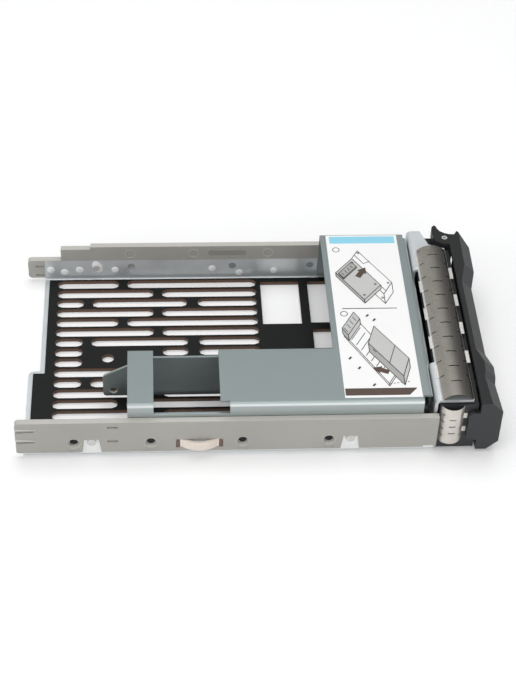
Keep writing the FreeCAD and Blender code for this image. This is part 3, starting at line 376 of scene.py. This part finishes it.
# A blank moulded tag with round ends stands on the far rail's inner face.
TAG_LOW, TAG_HIGH, TAG_Z, TAG_END = -28.8, -12.3, 15.8, 1.3
tag = []
for middle, start in ((TAG_HIGH - TAG_END, -0.5), (TAG_LOW + TAG_END, 0.5)):
    tag += [(middle + TAG_END * math.cos(a), TAG_Z + TAG_END * math.sin(a))
            for a in [math.pi * (i / 8 + start) for i in range(9)]]
slab_piece("blank_rail_tag", tag, 50.8, 51.05, plastic("raised_rail_tag", "#8B8983", "#94928C", 0.18, 0.5),
           "tray")
# Two lead-in lips at the near rail's rear end are pale slabs: a painted highlight on the grooves' top edges.
LIP_REAR, LIP_FRONT = -106.4, -98.6
for count, z in enumerate((15.3, 9.4)):
    lip = [(LIP_REAR, z + 0.55), (LIP_FRONT - 0.4, z + 0.5), (LIP_FRONT, z + 0.75),
           (LIP_FRONT - 0.6, z + 1.0), (LIP_REAR, z + 1.45)]
    slab_piece("lead_in_lip_%d" % count, lip, -53.75, -53.5, rail_highlight, "tray")

# ---------------------------------------------------------------- side springs
# Cream acetal leaves, smooth and a little waxy, bowed out through the rails' windows. Their
# ends lie in the shadow behind the window's edge and are painted brown there: painted shade.
acetal = plastic("cream_acetal", "#E2D5CA", "#EBDFD5", 0.3, 0.38, 0.1)
leaf_low, leaf_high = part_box("near_spring")
LEAF_BRIGHT = 7.6   # the unshaded part reaches this far either way from the middle; past it is painted shade
leaf_tree = acetal.node_tree
leaf_middle = (leaf_low[0] + leaf_high[0]) / 2
from_middle = maths(leaf_tree, "SUBTRACT", place_along(leaf_tree, "X"), leaf_middle)
from_middle = maths(leaf_tree, "ABSOLUTE", from_middle)
mask_colour(acetal, maths(leaf_tree, "GREATER_THAN", from_middle, LEAF_BRIGHT * MM), "#6B5348")
dress("near_spring", acetal)
dress("far_spring", acetal)

# ---------------------------------------------------------------- drive studs
# Pale turned steel pins riveted through the pan's walls.
pin_steel = metal("pale_pin_steel", "#C2C3C0", "#D5D5D1", 0.2, 0.36, (1, 1, 1), 0.1)
dress("drive_studs", pin_steel)

# ---------------------------------------------------------------- adapter bracket
# Folded from zinc plated steel sheet with a greenish grey passivation. Its bends are painted
# bright, a painted highlight, and the wall at the near rail is painted lighter, painted light
# where the front lamps fall on it.
bracket_steel = metal("passivated_steel_sheet", "#838D8D", "#868F8F", 0.4, 0.42, (3, 1, 3), 0.12)
NEAR_WALL = -50.6
bracket_tree = bracket_steel.node_tree
tilt = facing_along(bracket_tree, "Z", "Normal")
bend = ramp(bracket_tree, tilt, 0.97, 0.6, 0.0, 0.85)
bend_highlight = maths(bracket_tree, "MULTIPLY", bend, maths(bracket_tree, "GREATER_THAN", tilt, 0.04))
near_wall = maths(bracket_tree, "LESS_THAN", place_along(bracket_tree, "Y"), NEAR_WALL * MM)
# Painted light on the near wall, then a painted highlight on the bends.
mask_colour(bracket_steel, near_wall, "#A9B2B1")
mask_colour(bracket_steel, bend_highlight, "#D3D9D8")
dress("adapter_bracket", bracket_steel)

# ---------------------------------------------------------------- instruction label
# Semi gloss paper label, stuck on the bracket's block. Its print is plain fields, bars and
# simple figures, each shape a slab of ink, and later shapes lie on higher layers.
dress("instruction_label", plastic("white_label_paper", "#F5F5F4", "#F8F8F7", 0.3, 0.4, 0.05))
INK = {"cyan": "#8FD3EA", "dark": "#2E2B2A", "grey": "#C4C4C2", "shade": "#A8A8A6", "brown": "#4A362A",
       "paper": "#F6F6F5"}
INK_LIFT, INK_STEP, INK_THICK = 0.004, 0.012, 0.01


class Print:
    """Flat shapes of ink on the label, each a thin closed slab, placed from the label's near left corner."""

    def __init__(self):
        self.bm = bmesh.new()
        low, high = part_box("instruction_label")
        self.corner = Vector((low[0], low[1], high[2]))

    def shape(self, ink, points, layer):
        """One filled shape, its points in millimetres along and across the label."""
        bottom = self.corner.z + (INK_LIFT + INK_STEP * layer) * MM
        floor_ring, roof_ring = [], []
        for u, v in points:
            x, y = self.corner.x + u * MM, self.corner.y + v * MM
            floor_ring.append(self.bm.verts.new((x, y, bottom)))
            roof_ring.append(self.bm.verts.new((x, y, bottom + INK_THICK * MM)))
        for face in close_rings(self.bm, floor_ring, roof_ring):
            face.material_index = list(INK).index(ink)

    def line(self, start, end, layer=3, ink="dark", width=0.32):
        """A straight stroke."""
        along = Vector(end) - Vector(start)
        across = Vector((-along.y, along.x)).normalized() * width / 2
        self.shape(ink, [Vector(start) - across, Vector(end) - across, Vector(end) + across,
                         Vector(start) + across], layer)

    def outline(self, points, layer=3, width=0.32):
        """Strokes round a closed shape."""
        for i, point in enumerate(points):
            self.line(point, points[(i + 1) % len(points)], layer, width=width)

    def block(self, corner, length, depth, height, inks, layer):
        """A box in parallel view: its top, its near side and its end, each filled and outlined."""
        o, a, b, h = Vector(corner), Vector(length), Vector(depth), Vector((0, -height))
        for ink, face in zip(inks, ((o, o + b, o + a + b, o + a), (o, o + a, o + a + h, o + h),
                                    (o + a, o + a + b, o + a + b + h, o + a + h))):
            self.shape(ink, face[::-1], layer)
            self.outline(face, layer + 1)

    def ring(self, centre, radius, layer=3):
        """A circle drawn in short strokes."""
        corners = [(centre[0] + radius * math.cos(a), centre[1] + radius * math.sin(a))
                   for a in [math.pi * i / 12 for i in range(24)]]
        self.outline(corners, layer, 0.3)

    def arrow(self, tail, tip, width, layer):
        """A broad arrow from tail to tip."""
        start, end = Vector(tail), Vector(tip)
        along = (end - start).normalized()
        across = Vector((-along.y, along.x)) * width / 2
        neck = end - along * width * 0.8
        self.shape("brown", [start - across * 0.55, neck - across * 0.55, neck - across, end, neck + across,
                             neck + across * 0.55, start + across * 0.55], layer)

    def finish(self, name):
        """Make the print one piece on the tray, with one material for each ink."""
        bmesh.ops.recalc_face_normals(self.bm, faces=self.bm.faces)
        mesh = bpy.data.meshes.new(name)
        self.bm.to_mesh(mesh)
        for ink, colour in INK.items():
            mesh.materials.append(plastic("printed_" + ink, colour, colour, 0.3, 0.42, 0.03))
        piece = new_object(name, mesh)
        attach(piece, "tray")


label = Print()
label.shape("cyan", [(1.3, 92.4), (29.4, 92.4), (29.4, 96.9), (1.3, 96.9)], 0)
label.ring((3.7, 88.3), 1.4)
label.ring((3.7, 48.1), 1.4)
label.line((3.2, 51.2), (25.9, 51.2), width=0.4)
foot_bar = [(0.5, 1.3), (25.4, 1.3), (28.6, 4.9), (0.5, 4.9)]
label.shape("brown", foot_bar, 0)
label.outline(foot_bar, 1, 0.3)
# Figure one: a slim grey drive that slides into an open white box.
label.block((8.8, 80.5), (12.6, -20.5), (4.0, 7.0), 6.0, ("paper", "paper", "paper"), 0)
label.line((9.9, 82.4), (22.4, 62.0), 2)
label.line((11.2, 84.8), (14.6, 79.2), 2)
label.line((14.6, 79.2), (17.4, 80.6), 2)
label.block((2.4, 73.5), (10.6, -17.0), (7.6, 9.0), 2.2, ("grey", "shade", "grey"), 4)
label.block((3.6, 73.2), (1.9, -3.1), (6.0, 7.1), 0.7, ("shade", "shade", "shade"), 6)
for i in range(4):
    label.line((4.9 + 1.3 * i, 73.4 + 1.5 * i), (5.9 + 1.3 * i, 71.8 + 1.5 * i), 8)
label.arrow((11.4, 70.6), (15.2, 76.6), 4.4, 9)
for spot in ((9.9, 79.9), (18.4, 66.0), (13.2, 59.4), (23.9, 66.8), (12.9, 86.0), (20.6, 57.6)):
    label.ring(spot, 0.4, 9)
# Figure two: a drive that is lowered on to a slotted tray.
label.block((2.6, 36.0), (15.5, -28.5), (5.5, 9.5), 1.4, ("paper", "paper", "paper"), 0)
label.block((2.2, 39.5), (2.2, -4.0), (5.5, 9.5), 3.4, ("grey", "shade", "grey"), 2)
for i in range(4):
    label.line((3.0 + 1.3 * i, 39.6 + 2.2 * i), (4.4 + 1.3 * i, 37.2 + 2.2 * i), 4)
for i in range(7):
    label.line((5.4 + 1.7 * i, 32.6 - 3.1 * i), (9.6 + 1.7 * i, 39.8 - 3.1 * i), 2)
label.block((12.0, 30.5), (12.2, -19.0), (3.2, 10.0), 5.0, ("grey", "shade", "grey"), 4)
label.line((19.4, 19.0), (22.6, 29.0), 7)
label.line((13.4, 27.0), (14.6, 25.2), 7)
label.arrow((18.6, 13.8), (12.4, 16.4), 4.2, 9)
for spot in ((3.4, 21.4), (6.6, 15.8), (11.6, 6.2), (12.6, 46.2), (15.2, 43.6)):
    label.line(spot, (spot[0] + 1.0, spot[1] + 1.3), 4, width=0.8)
for i in range(6):
    label.line((18.4 + 1.4 * i, 7.4 + 0.2 * i), (19.2 + 1.4 * i, 7.5 + 0.2 * i), 3)
label.finish("label_print")

# ---------------------------------------------------------------- finger gaskets
# Beryllium copper strip with a warm grey tin plate, springy and satin. The top strip's far
# half is painted darker, a painted shade where it reflects less light, and the low tabs of
# its fingers are painted bright, a painted highlight.
gasket_metal = metal("tinned_spring_strip", "#A9A49C", "#B0ABA3", 0.3, 0.3, (1, 1, 1), 0.12, 0.8)
DARK_FROM, DARK_FULL, TAB_TOP = 60, 70, 26.35
strip_tree = gasket_metal.node_tree
# Painted shade on the far half.
far_half = ramp(strip_tree, place_along(strip_tree, "X"), DARK_FROM * MM, DARK_FULL * MM)
mask_colour(gasket_metal, far_half, "#45433F")
# Painted highlight on the low tabs.
tabs = maths(strip_tree, "LESS_THAN", place_along(strip_tree, "Z"), TAB_TOP * MM)
mask_colour(gasket_metal, tabs, "#D6D4D0")
dress("top_gasket", gasket_metal)
dress("side_gasket", metal("bright_spring_strip", "#C9C3BC", "#DAD5CE", 0.3, 0.34, (1, 1, 1), 0.12, 0.7))

# ---------------------------------------------------------------- bezel frame and handle
# Moulded from black polycarbonate blend with a fine spark texture. The level faces are
# painted darker than the flanks: painted shade and light for how each face turns to the lamps.
black_plastic = plastic("black_moulded_bezel", "#303133", "#353638", 0.2, 0.5, 0.3, 1.38)
mask_colour(black_plastic, facing_mask(black_plastic, "Z", 0.85, 0.97), "#101112")
dress("bezel_frame", black_plastic)
dress("handle", black_plastic)
dress("release_lever", plastic("dark_grey_lever", "#2B2C2D", "#313233", 0.2, 0.42, 0.3, 1.4))

# ---------------------------------------------------------------- vent screen
# Perforated stainless sheet behind the bezel's openings.
dress("vent_screen", metal("perforated_stainless", "#85878A", "#969899", 0.3, 0.4))

# ---------------------------------------------------------------- screws, pins and coil springs
# Pale turned pins and screws, and springs wound from drawn wire. The hinge pin's end has a
# dark cross where it was staked: painted shade in the stake's grooves. Places and sizes are in millimetres.
dress("frame_screws", pin_steel)
dress("hinge_pin", pin_steel)
pin_low, pin_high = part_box("hinge_pin")
pin_x, pin_y = (pin_low[0] + pin_high[0]) / 2 / MM, (pin_low[1] + pin_high[1]) / 2 / MM
MARK_HALF_LENGTH, MARK_HALF_WIDTH = 0.85, 0.14
for count, angle in enumerate((0.4, 0.4 + math.pi / 2)):
    along, across = Vector((math.cos(angle), math.sin(angle))), Vector((-math.sin(angle), math.cos(angle)))
    middle = Vector((pin_x, pin_y))
    corners = [middle + along * a * MARK_HALF_LENGTH + across * b * MARK_HALF_WIDTH
               for a, b in ((-1, -1), (1, -1), (1, 1), (-1, 1))]
    bm = bmesh.new()
    close_rings(bm, *[[bm.verts.new((c.x * MM, c.y * MM, pin_high[2] + lift * MM)) for c in corners]
                      for lift in (-0.1, 0.03)])
    mark = bpy.data.meshes.new("pin_stake_mark_%d" % count)
    bm.to_mesh(mark)
    # The cross is a dark slab: painted shade in the stake's grooves.
    mark.materials.append(recess_shade)
    mark = new_object(mark.name, mark)
    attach(mark, "tray")
dress("release_pin", pin_steel)
coil_steel = metal("drawn_spring_wire", "#8F9193", "#A3A5A7", 0.15, 0.33, (1, 1, 1), 0.1, 0.8)


def wound_spring(name, node, body, middle, radius, wire, low, high, turns, legs):
    """A helix with two straight legs, swept by a tree and put in place of the node; sizes in millimetres."""
    tree = bpy.data.node_groups.new(name, "GeometryNodeTree")
    rise = (high - low - wire) * MM
    titles = {"Coil Radius": radius * MM, "Wire Radius": wire / 2 * MM, "Turns": turns, "Rise": rise}
    tree.interface.new_socket("Geometry", in_out="INPUT", socket_type="NodeSocketGeometry")
    sockets = {}
    for title in titles:
        socket = tree.interface.new_socket(title, in_out="INPUT", socket_type="NodeSocketFloat")
        sockets[title] = socket.identifier
    tree.interface.new_socket("Geometry", in_out="OUTPUT", socket_type="NodeSocketGeometry")
    source = add(tree, "NodeGroupInput")
    coil = add(tree, "GeometryNodeCurveSpiral", {
        "Resolution": 40, "Rotations": source.outputs["Turns"], "Start Radius": source.outputs["Coil Radius"],
        "End Radius": source.outputs["Coil Radius"], "Height": source.outputs["Rise"]})
    joined = add(tree, "GeometryNodeJoinGeometry", {"Geometry": coil.outputs[0]})
    for start_x, length, height in legs:
        leg = add(tree, "GeometryNodeCurvePrimitiveLine", {
            "Start": (start_x * radius * MM, 0, height * rise),
            "End": (start_x * radius * MM, length * MM, height * rise)})
        tree.links.new(leg.outputs[0], joined.inputs["Geometry"])
    section = add(tree, "GeometryNodeCurvePrimitiveCircle", {
        "Resolution": 12, "Radius": source.outputs["Wire Radius"]})
    swept = add(tree, "GeometryNodeCurveToMesh", {
        "Curve": joined.outputs[0], "Profile Curve": section.outputs["Curve"], "Fill Caps": True})
    soft = add(tree, "GeometryNodeSetShadeSmooth", {"Geometry": swept.outputs[0]})
    placed = add(tree, "GeometryNodeTransform", {
        "Geometry": soft.outputs[0], "Translation": Vector((middle[0], middle[1], low + wire / 2)) * MM})
    real = add(tree, "GeometryNodeRealizeInstances", {"Geometry": placed.outputs[0]})
    dressed = add(tree, "GeometryNodeSetMaterial", {"Geometry": real.outputs[0], "Material": coil_steel})
    add(tree, "NodeGroupOutput", {"Geometry": dressed.outputs[0]})
    carrier = new_object(name + "_seed", bpy.data.meshes.new(name + "_seed"))
    modifier = carrier.modifiers.new("wind", "NODES")
    modifier.node_group = tree
    for title, value in titles.items():
        modifier[sockets[title]] = float(value)
    piece = new_object(name, baked_mesh(carrier, name))
    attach(piece, body)
    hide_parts(node)


wound_spring("handle_coil", "handle_spring", "tray", (72.8, 46.6), 2.6, 0.7, 18.7, 21.5, 2.5,
             ((1, -5.2, 0), (-1, -4.6, 1)))
wound_spring("release_coil", "release_spring", "handle_body", (77.6, -32.4), 1.7, 0.45, 17.0, 18.8, 2.0,
             ((1, -5.0, 0), (1, 5.0, 1)))

# ---------------------------------------------------------------- floor, lights and camera
# A pale seamless sweep under broad soft lights.
def sweep_sheet():
    """A floor that curves up into a backdrop far behind the part, in metres."""
    half, front, back, radius, height, drop = 2.4, -2.6, 2.0, 0.8, 2.6, 0.0002
    profile = [(front, 0.0), (back - radius, 0.0)]
    profile += [(back - radius + radius * math.sin(a), radius - radius * math.cos(a))
                for a in [math.pi / 2 * i / 16 for i in range(1, 17)]]
    profile.append((back, height))
    mesh = bpy.data.meshes.new("floor")
    points = [(x, y, z) for y, z in profile for x in (-half, half)]
    faces = [(2 * i, 2 * i + 1, 2 * i + 3, 2 * i + 2) for i in range(len(profile) - 1)]
    mesh.from_pydata(points, [], faces)
    for face in mesh.polygons:
        face.use_smooth = True
    sheet = new_object("floor", mesh)
    sheet.location.z = -drop
    return sheet


floor = sweep_sheet()
floor_paint, floor_tree, floor_shader = blank("pale_backdrop")
floor_shader.inputs["Base Color"].default_value = linear("#F2F2F2")
floor_shader.inputs["Roughness"].default_value = 0.7
floor_shader.inputs["Emission Color"].default_value = linear("#FFFFFF")


def seen_rays(tree):
    """One for rays from the view or off gloss and glass, and nought for those that light the part."""
    rays = add(tree, "ShaderNodeLightPath")
    seen = rays.outputs["Is Camera Ray"]
    for kind in ("Is Glossy Ray", "Is Transmission Ray"):
        seen = maths(tree, "ADD", seen, rays.outputs[kind])
    return maths(tree, "MINIMUM", seen, 1.0)


FLOOR_GLOW = 0.14
top_up = maths(floor_tree, "MULTIPLY", seen_rays(floor_tree), FLOOR_GLOW)
floor_tree.links.new(top_up, floor_shader.inputs["Emission Strength"])
floor.data.materials.append(floor_paint)


def lamp(name, place, size, power):
    """A rectangular soft light, in metres and watts, aimed at the part."""
    data = bpy.data.lights.new(name, "AREA")
    data.shape = "RECTANGLE"
    data.size, data.size_y = size
    data.energy = power
    softbox = new_object(name, data)
    softbox.location = place
    softbox.rotation_euler = (-Vector(place)).to_track_quat("-Z", "Y").to_euler()


lamp("overhead_softbox", (0.0, 0.15, 0.9), (0.9, 0.9), 5.2)
lamp("left_softbox", (-0.8, -0.5, 0.5), (0.6, 0.6), 2.4)
lamp("front_fill", (0.3, -0.9, 0.35), (0.8, 0.5), 2.2)

world = bpy.data.worlds.new("studio")
bpy.context.scene.world = world
world.use_nodes = True
SKY_LIGHT, SKY_SEEN = 0.42, 0.55   # what lights the part, and what is added where the sky is seen
sky_tree = world.node_tree
background = sky_tree.nodes["Background"]
background.inputs["Color"].default_value = linear("#F4F5F6")
glow = maths(sky_tree, "MULTIPLY_ADD", seen_rays(sky_tree), SKY_SEEN, SKY_LIGHT)
sky_tree.links.new(glow, background.inputs["Strength"])

eye = bpy.data.cameras.new("camera")
camera = new_object("camera", eye)
EYE_PLACE, SENSOR_WIDTH, LENS = (-49.90, -506.34, 494.42), 36, 118.0214
AZIMUTH, ELEVATION, ROLL = math.radians(4.567), math.radians(43.673), math.radians(2.415)
forward = Vector((math.sin(AZIMUTH) * math.cos(ELEVATION), math.cos(AZIMUTH) * math.cos(ELEVATION),
                  -math.sin(ELEVATION)))
level = Vector((math.cos(AZIMUTH), -math.sin(AZIMUTH), 0))
upright = level.cross(forward)
right = level * math.cos(ROLL) + upright * math.sin(ROLL)
up = upright * math.cos(ROLL) - level * math.sin(ROLL)
axes = Matrix((right, up, -forward)).transposed()
camera.matrix_world = Matrix.Translation(Vector(EYE_PLACE) * MM) @ axes.to_4x4()
eye.sensor_fit = "HORIZONTAL"
eye.sensor_width = SENSOR_WIDTH
eye.lens = LENS
eye.clip_start = 0.01
bpy.context.scene.camera = camera
bpy.context.scene.view_settings.view_transform = "Standard"
